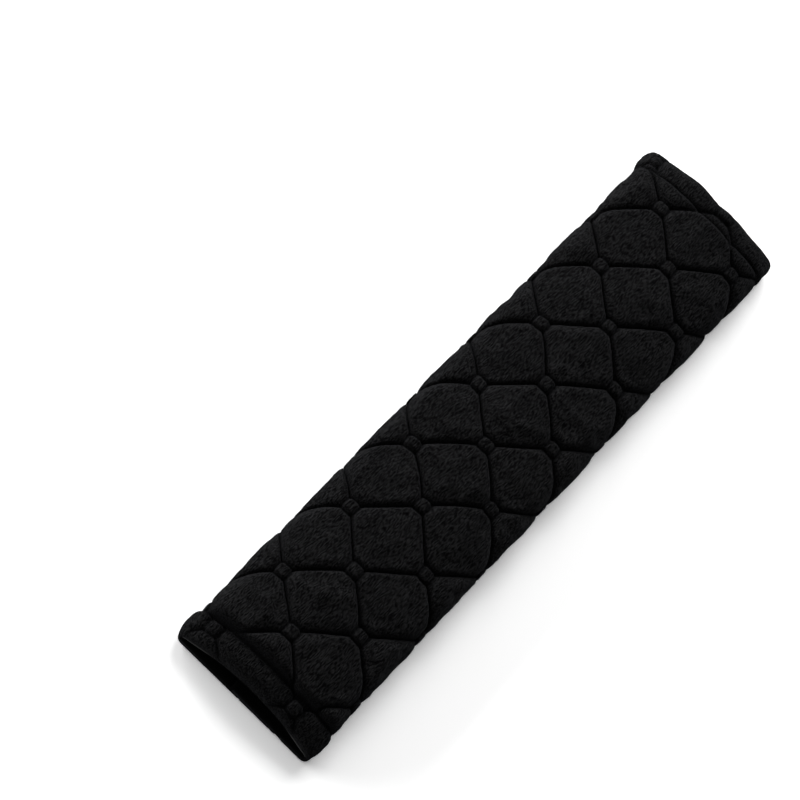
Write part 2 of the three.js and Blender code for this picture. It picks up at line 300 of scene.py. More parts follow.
class Waves:
    """Smooth seeded noise: a sum of plane waves, the same on every run."""

    def __init__(self, seed, size, count=14):
        draw = np.random.default_rng(seed)
        angle = draw.uniform(0, math.pi, count)
        pitch = size * draw.uniform(*PITCH_SPREAD, count)
        self.k = 2 * math.pi / pitch * np.stack([np.cos(angle), np.sin(angle)])
        self.phase = draw.uniform(0, 2 * math.pi, count)
        self.level = math.sqrt(2 / count)

    def __call__(self, x, s):
        total = np.zeros(np.broadcast(x, s).shape)
        for (kx, ks), phase in zip(self.k.T, self.phase):
            total += np.sin(kx * x + ks * s + phase)
        return total * self.level


line_drift_x = Waves(RANDOM_SEED, DRIFT_X_PITCH)
line_drift_s = Waves(RANDOM_SEED + 1, DRIFT_S_PITCH)
fullness = Waves(RANDOM_SEED + 2, FULLNESS_PITCH)
ripples = Waves(RANDOM_SEED + 3, RIPPLE_PITCH, count=24)
lip_waves = Waves(RANDOM_SEED + 4, LIP_PITCH)


def drifted(x, s):
    """Place on the flat fabric: stitch lines wander, and hems are folded over and gathered."""
    near, far = x < -CREASE_X, x > CREASE_X
    slip = near * (NEAR_HEM_SLIP + NEAR_HEM_SKEW * s) + far * FAR_HEM_SLIP
    side = np.clip(s / FAR_HEM_GATHER_WIDTH, 0, 1)
    gather = s * (near * NEAR_HEM_GATHER + far * FAR_HEM_GATHER * side)
    return (
        x - slip + LINE_DRIFT * line_drift_x(x, s),
        s + gather + LINE_DRIFT * line_drift_s(x, s),
    )


def to_lattice(x, s):
    """Counts of stitch lines of each family passed at a place on the fabric."""
    along, around = x - CROSSING_X, CROSSING_S - s
    area = QUILT_STEP_X * QUILT_STEP_S - SKEW_X * SKEW_S
    a = (along * QUILT_STEP_S - around * SKEW_X) / area
    b = (around * QUILT_STEP_X - along * SKEW_S) / area
    return (a + b) / 2, (b - a) / 2


def from_lattice(i, j):
    """The place on the fabric with given counts of stitch lines passed."""
    a, b = i - j, i + j
    return CROSSING_X + a * QUILT_STEP_X + b * SKEW_X, CROSSING_S - b * QUILT_STEP_S - a * SKEW_S


LINE_SPACING = (
    2 * (QUILT_STEP_X * QUILT_STEP_S - SKEW_X * SKEW_S) / math.hypot(QUILT_STEP_X, QUILT_STEP_S)
)


def quilt_place(x, s):
    """Distances to the nearest stitch line of each family and to the edge of the nearest tab."""
    i, j = to_lattice(*drifted(x, s))
    line_one = np.abs(i - np.round(i)) * LINE_SPACING
    line_two = np.abs(j - np.round(j)) * LINE_SPACING
    gap_x, gap_s = from_lattice(i - np.round(i), j - np.round(j))
    gap_x, gap_s = gap_x - CROSSING_X, gap_s - CROSSING_S
    tab_edge = (np.abs(gap_x) ** TAB_POWER + np.abs(gap_s) ** TAB_POWER) ** (1 / TAB_POWER)
    tab_edge = tab_edge - TAB_HALF
    return line_one, line_two, tab_edge


def drawn_to_lines(x, s):
    """Moves the mesh's points towards the stitch lines, where the folds are tight."""
    xd, sd = drifted(x, s)
    pulled = []
    for count in to_lattice(xd, sd):
        rest = count - np.round(count)
        pulled.append(np.round(count) + np.sign(rest) * 0.5 * np.abs(2 * rest) ** LINE_PULL)
    xw, sw = from_lattice(*pulled)
    bottom = TOP_ARC + SIDE_ARC
    fade = smooth(*PULL_RISE, np.abs(np.abs(x) - CREASE_X))
    fade = fade * (1 - smooth(PULL_END_X, HALF_LENGTH - HEM_END_ROUND, np.abs(x)))
    fade = fade * (1 - smooth(bottom - PULL_MARGIN, bottom + PULL_MARGIN, np.abs(s)))
    return x + (xw - xd) * fade, s + (sw - sd) * fade


def steep(share, power=FOLD_POWER):
    """A rise from 0 to 1 that starts upright and ends level, as a rounded edge does."""
    left = 1 - np.clip(share, 0, 1)
    return (1 - left**power) ** (1 / power)


def cell_rise(distance):
    """Height of the filling at a distance from one stitch line: a tight fold, then a soft dome."""
    fold = steep(distance / CELL_SHOULDER)
    return (1 - DOME_SHARE) * fold + DOME_SHARE * steep(distance / CELL_DOME, ROUND_POWER)


def quilt_relief(x, s):
    """Share of a full cell's height, height added to it, and how dark the pile is, 0 to 1: pressed
    along the stitching, with painted shade in the creases.
    """
    line_one, line_two, tab_edge = quilt_place(x, s)
    on_tab = tab_edge < 0
    cell = cell_rise(line_one) * cell_rise(line_two)
    cell = cell * steep(tab_edge / (TAB_FOOT * CELL_SHOULDER))
    lines = np.minimum(line_one, line_two)
    nearest = np.where(on_tab, -tab_edge, np.minimum(lines, tab_edge))
    groove = -GROOVE_DEPTH * np.exp(-((nearest / GROOVE_WIDTH) ** 2))
    tab = TAB_RISE * steep(-tab_edge / TAB_ROUND) * on_tab
    # painted shade: the pile is darkened along the stitch lines and round the tabs, for pressed
    # pile and for the creases' shade
    pressed_and_shade = np.exp(-((nearest * np.where(on_tab, TAB_PRESSED_SHADE, 1) / PRESSED_SHADE_WIDTH) ** 2))
    return np.where(on_tab, 0, cell), groove + tab, pressed_and_shade


def rolled_in(x):
    """1 over the pad's length, falling to 0 at its very ends, where the hems roll in."""
    to_end = np.clip((HALF_LENGTH - np.abs(x)) / HEM_END_ROUND, 0, 1)
    return np.sqrt(np.clip(1 - (1 - to_end) ** 2, 0, 1))


def under_lift(x):
    """Height of the underside over the floor: 0 but for the creases and the hems' rolled ends."""
    crease = UNDER_CREASE * np.exp(-(((np.abs(x) - CREASE_X) / UNDER_CREASE_WIDTH) ** 2))
    return crease + HEM_UNDER_ROLL * (1 - rolled_in(x))


def on_top(turn):
    """1 on the top of the section, falling to 0 round its edges."""
    return 1 - smooth(*TOP_FADE, np.abs(turn))


def crease_offset(turn):
    """How far outside the passage the bottom of the hem's crease lies."""
    return HEM_CREASE_OFFSET + CREASE_TOP_PUFF * on_top(turn)


def hem_surface(x, turn, share, extra):
    """Outside of the hem band: a plump roll that the quilting still dents, rolled in at its end."""
    out = np.clip((np.abs(x) - CREASE_X) / (HALF_LENGTH - CREASE_X), 0, 1)
    under = smooth(*UNDER_RISE, np.abs(turn))
    low = crease_offset(turn)
    high = HEM_HIGH + HEM_TOP_PUFF * on_top(turn)
    plump = high - low - HEM_LINE_DEPTH * (1 - share) + extra
    offset = low + plump * steep(out / HEM_RISE, HEM_POWER)
    offset = HEM_LOW + (offset - HEM_LOW) * rolled_in(x)
    return section_point(MOUTH, turn, offset + (PASSAGE_Z - under_lift(x) - offset) * under)


def outer_surface(x, s):
    """Outside of the cover at a place on the fabric, body, crease or hem, and its darkened pile:
    pressed, with painted shade in the creases and on the rolled ends.
    """
    turn = turn_at(s)
    to_crease = CREASE_X - np.abs(x)
    under = smooth(*UNDER_RISE, np.abs(turn))
    stitched = STITCH_OFFSET + (PASSAGE_Z - UNDER_STITCH - STITCH_OFFSET) * under
    body = section_point(PASSAGE, turn, stitched)
    full = section_point(OUTSIDE, turn, 0.0)
    to_floor = PASSAGE_Z - UNDER_CREASE - HEM_CREASE_OFFSET
    crease = section_point(MOUTH, turn, crease_offset(turn) + to_floor * under)
    low = blend(crease, body, steep(to_crease / BODY_SHOULDER, ROUND_POWER))
    share, extra, pressed_and_shade = quilt_relief(x, s)
    end_round = steep(to_crease / END_CELL_SHOULDER, ROUND_POWER)
    raised = share * end_round * (1 + FULLNESS * fullness(x, s))
    point = blend(low, full, raised)
    outward = full - body
    outward /= np.maximum(np.linalg.norm(outward, axis=-1, keepdims=True), 1e-6)
    ripple = RIPPLE * ripples(x, s) * share
    lift = extra * (1 - UNDER_FLATTENING * under) + ripple * (1 - under)
    lift = lift * np.minimum(2 * end_round, 1)
    point = point + outward * lift[..., None]
    hem = hem_surface(x, turn, share, extra)
    # painted shade in the hems' creases, wider at the far end, where the fold shades more of the
    # band
    crease_shade_width = np.where(x < 0, NEAR_CREASE_SHADE_WIDTH, FAR_CREASE_SHADE_WIDTH)
    pressed_and_shade = np.maximum(pressed_and_shade, np.exp(-((to_crease / crease_shade_width) ** 2)))
    pressed_and_shade = pressed_and_shade * (1 - UNDER_OPENING * under)
    # painted shade on the rolled ends' sides and lower edges, towards the floor
    first, last = END_SHADE_SPAN
    end_shade = smooth(HALF_LENGTH - first, HALF_LENGTH - last, np.abs(x))
    end_shade = end_shade * smooth(*END_SHADE_RISE, np.abs(turn))
    return np.where((to_crease > 0)[..., None], point, hem), np.maximum(pressed_and_shade, end_shade)


def stations(low, high, step):
    return np.linspace(low, high, max(2, round((high - low) / step) + 1))


def arched(rows):
    """The mouths gape in the middle: the upper lip lies back there, and it sinks at the sides."""
    x, y, z = rows[..., 0], rows[..., 1], rows[..., 2]
    share = smooth(CREASE_X, HALF_LENGTH, np.abs(x))
    to_side = np.clip(np.abs(y) / cover_high.y, 0, 1) ** 2
    upper = smooth(PASSAGE_Z, PASSAGE_Z + PASSAGE_HEIGHT, z)
    back = (LIP_BACK * (x < 0) + LIP_WAVE * lip_waves(x, y)) * (1 - to_side) * share * upper
    return np.stack([x - np.sign(x) * back, y, z * (1 - MOUTH_SAG * share * to_side)], -1)


def linked(name, mesh):
    piece = bpy.data.objects.new(name, mesh)
    bpy.context.scene.collection.objects.link(piece)
    return piece


def grid_mesh(name, rows, tone_name=None, tone=None):
    """One closed skin over a row of closed rings, its ends filled in, with a tone at each point."""
    rings, count = rows.shape[:2]
    corner = np.arange(rings * count).reshape(rings, count)
    nxt = np.roll(corner, -1, axis=1)
    quads = np.stack([corner[:-1], corner[1:], nxt[1:], nxt[:-1]], -1).reshape(-1, 4)
    faces = quads.tolist()
    for ring, turned in ((0, True), (rings - 1, False)):
        flat = [Vector((y, z, 0)) for _, y, z in rows[ring].tolist()]
        for triangle in tessellate_polygon([flat]):
            cap = [int(corner[ring, k]) for k in triangle]
            faces.append(cap if turned else cap[::-1])
    mesh = bpy.data.meshes.new(name)
    mesh.from_pydata(rows.reshape(-1, 3).tolist(), [], faces)
    if tone_name:
        layer = mesh.attributes.new(tone_name, "FLOAT", "POINT")
        layer.data.foreach_set("value", tone.ravel().astype(np.float32))
    mesh.update()
    mesh.shade_smooth()
    return linked(name, mesh)


def row_of_rings(x, ring):
    """Stacks the ring's Y and Z, given for each station and place, with X."""
    return np.concatenate([np.broadcast_to(x[..., None], ring.shape[:2] + (1,)), ring], -1)


def normals_of(grid):
    """Outward unit normals of a grid of points, its rows one behind the other along the pad."""
    along = np.gradient(grid, axis=0)
    around = np.gradient(grid, axis=1)
    normal = np.cross(around, along)
    return normal / np.maximum(np.linalg.norm(normal, axis=-1, keepdims=True), 1e-12)


def simulate_face():
    """How far the stitched-down face moves as its fabric fills out and puckers at the stitching."""
    x = stations(-CREASE_X, CREASE_X, SIM_STEP)
    s = stations(-TOP_ARC - SIDE_ARC, TOP_ARC + SIDE_ARC, SIM_STEP)
    xd, sd = drawn_to_lines(*np.meshgrid(x, s, indexing="ij"))
    start, _ = outer_surface(xd, sd)
    start = np.concatenate([xd[..., None], start], -1)
    line_one, line_two, tab_edge = quilt_place(xd, sd)
    held = np.minimum(np.minimum(line_one, line_two), tab_edge) < SIM_PIN_WIDTH
    held |= CREASE_X - np.abs(xd) < SIM_PIN_ENDS
    held[:, [0, 1, -2, -1]] = True

    corner = np.arange(start.shape[0] * start.shape[1]).reshape(start.shape[:2])
    quads = [corner[:-1, :-1], corner[:-1, 1:], corner[1:, 1:], corner[1:, :-1]]
    mesh = bpy.data.meshes.new("fabric")
    flat = (start * SIM_SCALE).reshape(-1, 3)
    mesh.from_pydata(flat.tolist(), [], np.stack(quads, -1).reshape(-1, 4).tolist())
    fabric = linked("fabric", mesh)
    pins = fabric.vertex_groups.new(name="stitching")
    pins.add(corner[held].tolist(), 1.0, "REPLACE")
    cloth = fabric.modifiers.new("fabric", "CLOTH")
    settings = cloth.settings
    settings.quality = 6
    settings.mass = 0.15
    settings.bending_stiffness = 0.5
    settings.vertex_group_mass = "stitching"
    settings.use_pressure = True
    settings.uniform_pressure_force = SIM_PRESSURE
    settings.shrink_min = -SIM_SLACK
    settings.effector_weights.gravity = 0
    scene = bpy.context.scene
    for number in range(1, SIM_FRAMES + 1):
        scene.frame_set(number)
    settled = fabric.evaluated_get(bpy.context.evaluated_depsgraph_get()).to_mesh()
    end = np.empty(len(settled.vertices) * 3)
    settled.vertices.foreach_get("co", end)
    moved = end.reshape(start.shape) / SIM_SCALE - start
    bpy.data.objects.remove(fabric)
    bpy.data.meshes.remove(mesh)
    scene.frame_set(1)
    length = np.linalg.norm(moved, axis=-1, keepdims=True)
    return x, s, moved * SIM_CAP * np.tanh(length / SIM_CAP) / np.maximum(length, 1e-9)


def sampled(x_grid, s_grid, values, x, s):
    """Bilinear sampling of a regular grid of vectors, 0 outside it."""
    i = (x - x_grid[0]) / (x_grid[1] - x_grid[0])
    j = (s - s_grid[0]) / (s_grid[1] - s_grid[0])
    inside = (i >= 0) & (i <= len(x_grid) - 1) & (j >= 0) & (j <= len(s_grid) - 1)
    low_i = np.clip(i.astype(int), 0, len(x_grid) - 2)
    low_j = np.clip(j.astype(int), 0, len(s_grid) - 2)
    u, v = (i - low_i)[..., None], (j - low_j)[..., None]
    row = values[low_i, low_j] * (1 - u) + values[low_i + 1, low_j] * u
    next_row = values[low_i, low_j + 1] * (1 - u) + values[low_i + 1, low_j + 1] * u
    return (row * (1 - v) + next_row * v) * inside[..., None]


def cover_stations():
    """Places along the pad: even over its length, closer together where the hems roll in."""
    near, far = -HALF_LENGTH + HEM_END_ROUND, HALF_LENGTH - HEM_END_ROUND
    even = stations(near, far, MESH_STEP)
    roll = stations(0, HEM_END_ROUND, END_STEP)[1:]
    return np.concatenate([near - roll[::-1], even, far + roll])


def make_cover():
    """The plush cover, one closed piece: outside, flaps, and plain inside over foam and lining."""
    x = cover_stations()[:, None]
    bottom = TOP_ARC + SIDE_ARC
    low_end = -(bottom + OUTSIDE["flat"] + BAY_EDGE_Y)
    root = bottom + OUTSIDE["flat"] - FLAP_ROOT_Y
    s = np.concatenate(
        [
            stations(low_end, -bottom, UNDERSIDE_STEP)[:-1],
            stations(-bottom, bottom, MESH_STEP),
            stations(bottom, root, UNDERSIDE_STEP)[1:],
        ]
    )[None, :]
    x_drawn, s_drawn = drawn_to_lines(*np.broadcast_arrays(x, s))
    outer, pressed_and_shade = outer_surface(x_drawn, s_drawn)
    outer = np.concatenate([x_drawn[..., None], outer], -1)
    outer = outer + sampled(*simulate_face(), *np.broadcast_arrays(x, s))
    draw = np.random.default_rng(RANDOM_SEED)
    grain = draw.normal(0, 1, outer.shape[:2])
    grain[1:-1] = GRAIN_OWN * grain[1:-1] + GRAIN_NEXT * (grain[:-2] + grain[2:])
    grain *= GRAIN * (1 - smooth(*GRAIN_FADE, np.abs(turn_at(s))))
    grain *= np.minimum(1, rolled_in(x) * GRAIN_END)
    outer = outer + normals_of(outer) * grain[..., None]
    outer[..., 2] = np.maximum(outer[..., 2], 0)
    hem_share = smooth(FOAM_END_X, CREASE_X, np.abs(x[:, 0]))
    closed = smooth(*HEM_CLOSING, np.abs(x[:, 0]))[:, None]
    ones = np.ones_like(closed)

    floor_in = PASSAGE_Z - LINING_OUTSIDE
    lift = under_lift(x)
    flap_top = FLAP_THICKNESS + (0.5 * (floor_in - HEM_GAP) - FLAP_THICKNESS) * closed
    inner_z = INNER_FLAP_Z + (flap_top + HEM_GAP - INNER_FLAP_Z) * closed
    inner_edge = INNER_FLAP_EDGE_Y + (FLAP_ROOT_Y - HEM_GAP - INNER_FLAP_EDGE_Y) * closed
    bay_edge = BAY_EDGE_Y + BAY_CLOSING * (OUTER_FLAP_EDGE_Y - BAY_EDGE_Y) * closed

    def path(*corners):
        """Points between corners whose Y and Z may differ from station to station."""
        made = []
        for (y0, z0), (y1, z1) in zip(corners, corners[1:]):
            run = float(np.max(np.hypot(y1 - y0, z1 - z0)))
            count = max(1, round(run / INSIDE_STEP))
            for k in range(count):
                share = k / count
                made.append(np.stack([y0 + (y1 - y0) * share, z0 + (z1 - z0) * share], -1))
        return np.concatenate(made, axis=1)

    seam_low, seam_high = SEAM_Y
    flap_path = path(
        ((FLAP_ROOT_Y - UNDERSIDE_STEP) * ones, lift),
        *[((seam_high + side) * ones, lift + depth) for side, depth in SEAM_SHAPE],
        *[((seam_low + side) * ones, lift + depth) for side, depth in SEAM_SHAPE],
        ((OUTER_FLAP_EDGE_Y + FLAP_EDGE_ROUND) * ones, lift),
        (OUTER_FLAP_EDGE_Y * ones, (lift + flap_top) / 2),
        ((OUTER_FLAP_EDGE_Y + FLAP_EDGE_ROUND) * ones, flap_top),
        (FLAP_ROOT_Y * ones, flap_top),
        (FLAP_ROOT_Y * ones, floor_in * ones),
        ((FLAP_ROOT_Y + EDGE_WALL) * ones, floor_in * ones),
    )
    inner_flap_path = path(
        ((BAY_EDGE_Y - EDGE_WALL) * ones, floor_in * ones),
        (inner_edge, floor_in * ones),
        (inner_edge, inner_z),
        (bay_edge, inner_z),
        (bay_edge, lift + BAY_FOOT),
    )
    turns = np.concatenate([np.linspace(*stretch) for stretch in INSIDE_TURNS])[None, :]
    inner_body = section_point(PASSAGE, turns, COVER_INSIDE)
    inner_hem = section_point(MOUTH, turns, LINING_OUTSIDE)
    inner = inner_body + (inner_hem - inner_body) * hem_share[:, None, None]

    inside = row_of_rings(x, np.concatenate([flap_path, inner, inner_flap_path], axis=1))
    rows = np.concatenate([outer, inside], axis=1)
    # the cover's inside, and the flap above that share of its thickness, get the mask's full
    # darkening
    hidden = (inside[..., 2] > FLAP_FACE * FLAP_THICKNESS).astype(float)
    pressed_and_shade = np.concatenate([pressed_and_shade, hidden], axis=1)
    return grid_mesh("plush_cover", arched(rows), "pressed_pile_and_shade", pressed_and_shade)


def sleeve_rows(offset_in, offset_out, half_length, turns):
    """A C-shaped sheet round the passage, between two offsets from it, along the pad."""
    ends = np.array(SLEEVE_END_RINGS)
    last = half_length - SLEEVE_STEP
    even = stations(-last, last, SLEEVE_STEP)
    bends = np.array([-CREASE_X, -FOAM_END_X, FOAM_END_X, CREASE_X])
    bends = bends[np.abs(bends) < last]
    x = np.unique(np.concatenate([ends - half_length, even, bends, half_length - ends]))[:, None]
    widening = np.clip((np.abs(x) - FOAM_END_X) / (CREASE_X - FOAM_END_X), 0, 1)
    both = []
    for offset, places in ((offset_out, turns), (offset_in, turns[::-1])):
        narrow = section_point(PASSAGE, places[None, :], offset)
        wide = section_point(MOUTH, places[None, :], offset)
        both.append(narrow + (wide - narrow) * widening[..., None])
    return row_of_rings(x, np.concatenate(both, axis=1))


def turn_under(y, section):
    """The turn, on the +Y side's count, at which the underside reaches a Y."""
    return 3 - y / section["flat"]


def make_lining():
    """The lining: one sheet folded round the passage, its long edges meeting under the belt."""
    meeting = FLAP_ROOT_Y - LAYER_GAP
    low = -(6 - turn_under(meeting - LINING_SLIT, PASSAGE))
    high = turn_under(meeting + LINING_SLIT, PASSAGE)
    turns = np.linspace(low, high, LINING_COLUMNS)
    end = HALF_LENGTH - LINING_INSET
    rows = arched(sleeve_rows(0.0, LINING_THICKNESS, end, turns))
    both = np.concatenate([turns, turns[::-1]])[None, :]
    # painted highlight along the lining's cut edge at the mouths
    edge = smooth(end - 2 * LINING_HIGHLIGHT_WIDTH, end - LINING_HIGHLIGHT_WIDTH, np.abs(rows[..., 0]))
    edge = edge * (1 - smooth(*EDGE_HIGHLIGHT_FADE, np.abs(both)))
    piece = grid_mesh("lining", rows, "edge_highlight", edge)
    return piece


def make_foam():
    """The foam: a sheet round top and sides that ends beside the bay and beside the flap's root."""
    low = -(6 - turn_under(BAY_EDGE_Y - EDGE_WALL - LAYER_GAP, PASSAGE))
    high = turn_under(FLAP_ROOT_Y + EDGE_WALL + LAYER_GAP, PASSAGE)
    turns = np.linspace(low, high, FOAM_COLUMNS)
    rows = sleeve_rows(LINING_OUTSIDE, COVER_INSIDE - LAYER_GAP, foam_high.x, turns)
    return grid_mesh("foam", rows)


def make_stitches():
    """Two rows of thread along the closing tape's edges, seen under the outer flap."""
    sides = STITCH_SIDES
    points, faces = [], []
    row_end = hook_high.x - STITCH_INSET
    row = np.arange(-row_end, row_end - STITCH_LENGTH, STITCH_PITCH)
    for y in SEAM_Y:
        for start in row:
            first = len(points)
            for along in STITCH_RINGS:
                radius = STITCH_RADIUS * (1 if abs(along) < 1 else STITCH_TAPER)
                x = start + STITCH_LENGTH * (1 + along) / 2
                for k in range(sides):
                    angle = 2 * math.pi * k / sides
                    z = SEAM_GROOVE - STITCH_RADIUS + radius * math.sin(angle)
                    points.append((x, y + radius * math.cos(angle), z))
            for r in range(len(STITCH_RINGS) - 1):
                for k in range(sides):
                    a, b = first + r * sides + k, first + r * sides + (k + 1) % sides
                    faces.append((a, b, b + sides, a + sides))
            last = first + (len(STITCH_RINGS) - 1) * sides
            faces.append(tuple(range(first + sides - 1, first - 1, -1)))
            faces.append(tuple(range(last, last + sides)))
    mesh = bpy.data.meshes.new("tape_stitches")
    mesh.from_pydata(points, [], faces)
    mesh.shade_smooth()
    return linked("tape_stitches", mesh)


def node_maker(tree):
    """Two functions: one makes a node and sets its inputs or properties, one links two sockets."""

    def make(kind, **values):
        node = tree.nodes.new(kind)
        for key, value in values.items():
            if key in node.inputs:
                node.inputs[key].default_value = value
            else:
                setattr(node, key, value)
        return node

    return make, tree.links.new


def new_material(name):
    material = bpy.data.materials.new(name)
    material.use_nodes = True
    material.node_tree.nodes.clear()
    return material, *node_maker(material.node_tree)


def shaded_material(name, roughness):
    """A material with its shader, and the places on the surface that its patterns start from."""
    material, make, link = new_material(name)
    out = make("ShaderNodeOutputMaterial")
    shader = make("ShaderNodeBsdfPrincipled", Roughness=roughness)
    link(shader.outputs["BSDF"], out.inputs["Surface"])
    place = make("ShaderNodeTexCoord").outputs["Object"]
    return material, make, link, shader, place


def noise(make, link, place, scale, detail, roughness=0.5):
    pattern = make("ShaderNodeTexNoise", Scale=scale, Detail=detail, Roughness=roughness)
    link(place, pattern.inputs["Vector"])
    return pattern


def shades(make, link, value, dark, light):
    """Colour between two shades, by a pattern's value."""
    ramp = make("ShaderNodeValToRGB")
    ramp.color_ramp.elements[0].color = (*dark, 1)
    ramp.color_ramp.elements[1].color = (*light, 1)
    link(value, ramp.inputs["Fac"])
    return ramp.outputs["Color"]


def add_relief(make, link, shader, height, strength, distance):
    relief = make("ShaderNodeBump", Strength=strength, Distance=distance)
    link(height, relief.inputs["Height"])
    link(relief.outputs["Normal"], shader.inputs["Normal"])


def pile_material():
    """Short black pile: its nap lies along the pad in small strokes, darker where it is pressed and
    with painted shade in the creases and on the rolled ends.
    """
    material, make, link, shader, place = shaded_material("black_plush", roughness=0.85)
    shader.inputs["Specular IOR Level"].default_value = 0
    shader.inputs["Sheen Weight"].default_value = 0.038
    shader.inputs["Sheen Roughness"].default_value = 0.5
    shader.inputs["Sheen Tint"].default_value = (0.9, 0.92, 1, 1)
    swirl = noise(make, link, place, scale=110, detail=1)
    centred = make("ShaderNodeVectorMath", operation="SUBTRACT")
    centred.inputs[1].default_value = (0.5, 0.5, 0.5)
    link(swirl.outputs["Color"], centred.inputs[0])
    bent = make("ShaderNodeVectorMath", operation="MULTIPLY_ADD")
    bent.inputs[1].default_value = (0.0003, 0.0003, 0.0003)
    link(centred.outputs[0], bent.inputs[0])
    link(place, bent.inputs[2])
    stretch = make("ShaderNodeMapping", Scale=(0.22, 1, 1))
    link(bent.outputs[0], stretch.inputs["Vector"])
    strokes = noise(make, link, stretch.outputs["Vector"], scale=2500, detail=1)
    cloud = noise(make, link, place, scale=90, detail=3, roughness=0.6)

    fleck = make("ShaderNodeMapRange", clamp=True)
    fleck.inputs["From Min"].default_value = 0.41
    fleck.inputs["From Max"].default_value = 0.6
    link(strokes.outputs["Fac"], fleck.inputs["Value"])
    patch = make("ShaderNodeMapRange", clamp=True)
    patch.inputs["From Min"].default_value = 0.3
    patch.inputs["From Max"].default_value = 0.7
    patch.inputs["To Min"].default_value = 0.65
    link(cloud.outputs["Fac"], patch.inputs["Value"])
    tone = make("ShaderNodeMath", operation="MULTIPLY")
    link(fleck.outputs[0], tone.inputs[0])
    link(patch.outputs[0], tone.inputs[1])
    # mask of pressed pile and painted shade in creases and on the rolled ends
    pressed_and_shade = make("ShaderNodeAttribute", attribute_name="pressed_pile_and_shade")
    unpressed_unshaded = make("ShaderNodeMath", operation="MULTIPLY_ADD")
    unpressed_unshaded.inputs[1].default_value = -0.85
    unpressed_unshaded.inputs[2].default_value = 1
    link(pressed_and_shade.outputs["Fac"], unpressed_unshaded.inputs[0])
    shown = make("ShaderNodeMath", operation="MULTIPLY")
    link(tone.outputs[0], shown.inputs[0])
    link(unpressed_unshaded.outputs[0], shown.inputs[1])
    dark, light = (0.0008, 0.0008, 0.0008), (0.0149, 0.0149, 0.0152)
    colour = shades(make, link, shown.outputs[0], dark, light)
    link(colour, shader.inputs["Base Color"])
    height = strokes.outputs["Fac"]
    add_relief(make, link, shader, height, strength=1.0, distance=0.001)
    return material


def knit_material():
    """Matt black knit of the lining: fine ribs across fine rows, with a painted highlight along its
    cut edge.
    """
    material, make, link, shader, place = shaded_material("black_knit", roughness=0.9)
    shader.inputs["Specular IOR Level"].default_value = 0
    ribs = make("ShaderNodeTexWave", Scale=700, Distortion=1.5, Detail=2)
    ribs.bands_direction = "Y"
    link(place, ribs.inputs["Vector"])
    rows = make("ShaderNodeTexWave", Scale=500, Distortion=1.5, Detail=2)
    link(place, rows.inputs["Vector"])
    both = make("ShaderNodeMath", operation="MULTIPLY")
    link(ribs.outputs["Fac"], both.inputs[0])
    link(rows.outputs["Fac"], both.inputs[1])
    dark, light = (0.0012, 0.0012, 0.0012), (0.0046, 0.0046, 0.0046)
    knit = shades(make, link, both.outputs[0], dark, light)
    # painted highlight: a lighter grey along the cut edge
    edge_highlight = make("ShaderNodeAttribute", attribute_name="edge_highlight")
    colour = make("ShaderNodeMix", data_type="RGBA")
    colour.inputs["B"].default_value = (0.054, 0.054, 0.054, 1)
    link(edge_highlight.outputs["Fac"], colour.inputs["Factor"])
    link(knit, colour.inputs["A"])
    link(colour.outputs["Result"], shader.inputs["Base Color"])
    add_relief(make, link, shader, both.outputs[0], strength=0.5, distance=0.0003)
    return material


def grainy_material(name, roughness, scale, shade_in, shade_out, strength, distance):
    """A surface of small round grains, of one shade in their middles and another between them."""
    material, make, link, shader, place = shaded_material(name, roughness)
    grains = make("ShaderNodeTexVoronoi", Scale=scale)
    link(place, grains.inputs["Vector"])
    colour = shades(make, link, grains.outputs["Distance"], shade_in, shade_out)
    link(colour, shader.inputs["Base Color"])
    add_relief(make, link, shader, grains.outputs["Distance"], strength, distance)
    return material


def foam_material():
    """Dark grey open-cell foam."""
    return grainy_material(
        "grey_foam",
        roughness=0.95,
        scale=1800,
        shade_in=(0.02, 0.02, 0.021),
        shade_out=(0.075, 0.075, 0.08),
        strength=0.8,
        distance=0.0004,
    )


def tape_material(name, scale):
    """Black nylon tape, its face covered by fine hooks or loops."""
    return grainy_material(
        name,
        roughness=0.6,
        scale=scale,
        shade_in=(0.02, 0.02, 0.021),
        shade_out=(0.006, 0.006, 0.0065),
        strength=0.9,
        distance=0.0005,
    )


def thread_material():
    """Black polyester thread with its twist."""
    material, make, link, shader, place = shaded_material("black_thread", roughness=0.5)
    twist = make("ShaderNodeTexWave", Scale=900, Distortion=0.5)
    twist.bands_direction = "DIAGONAL"
    link(place, twist.inputs["Vector"])
    dark, light = (0.005, 0.005, 0.0055), (0.018, 0.018, 0.019)
    colour = shades(make, link, twist.outputs["Fac"], dark, light)
    link(colour, shader.inputs["Base Color"])
    return material


def grey(level):
    return (level, level, level, 1)


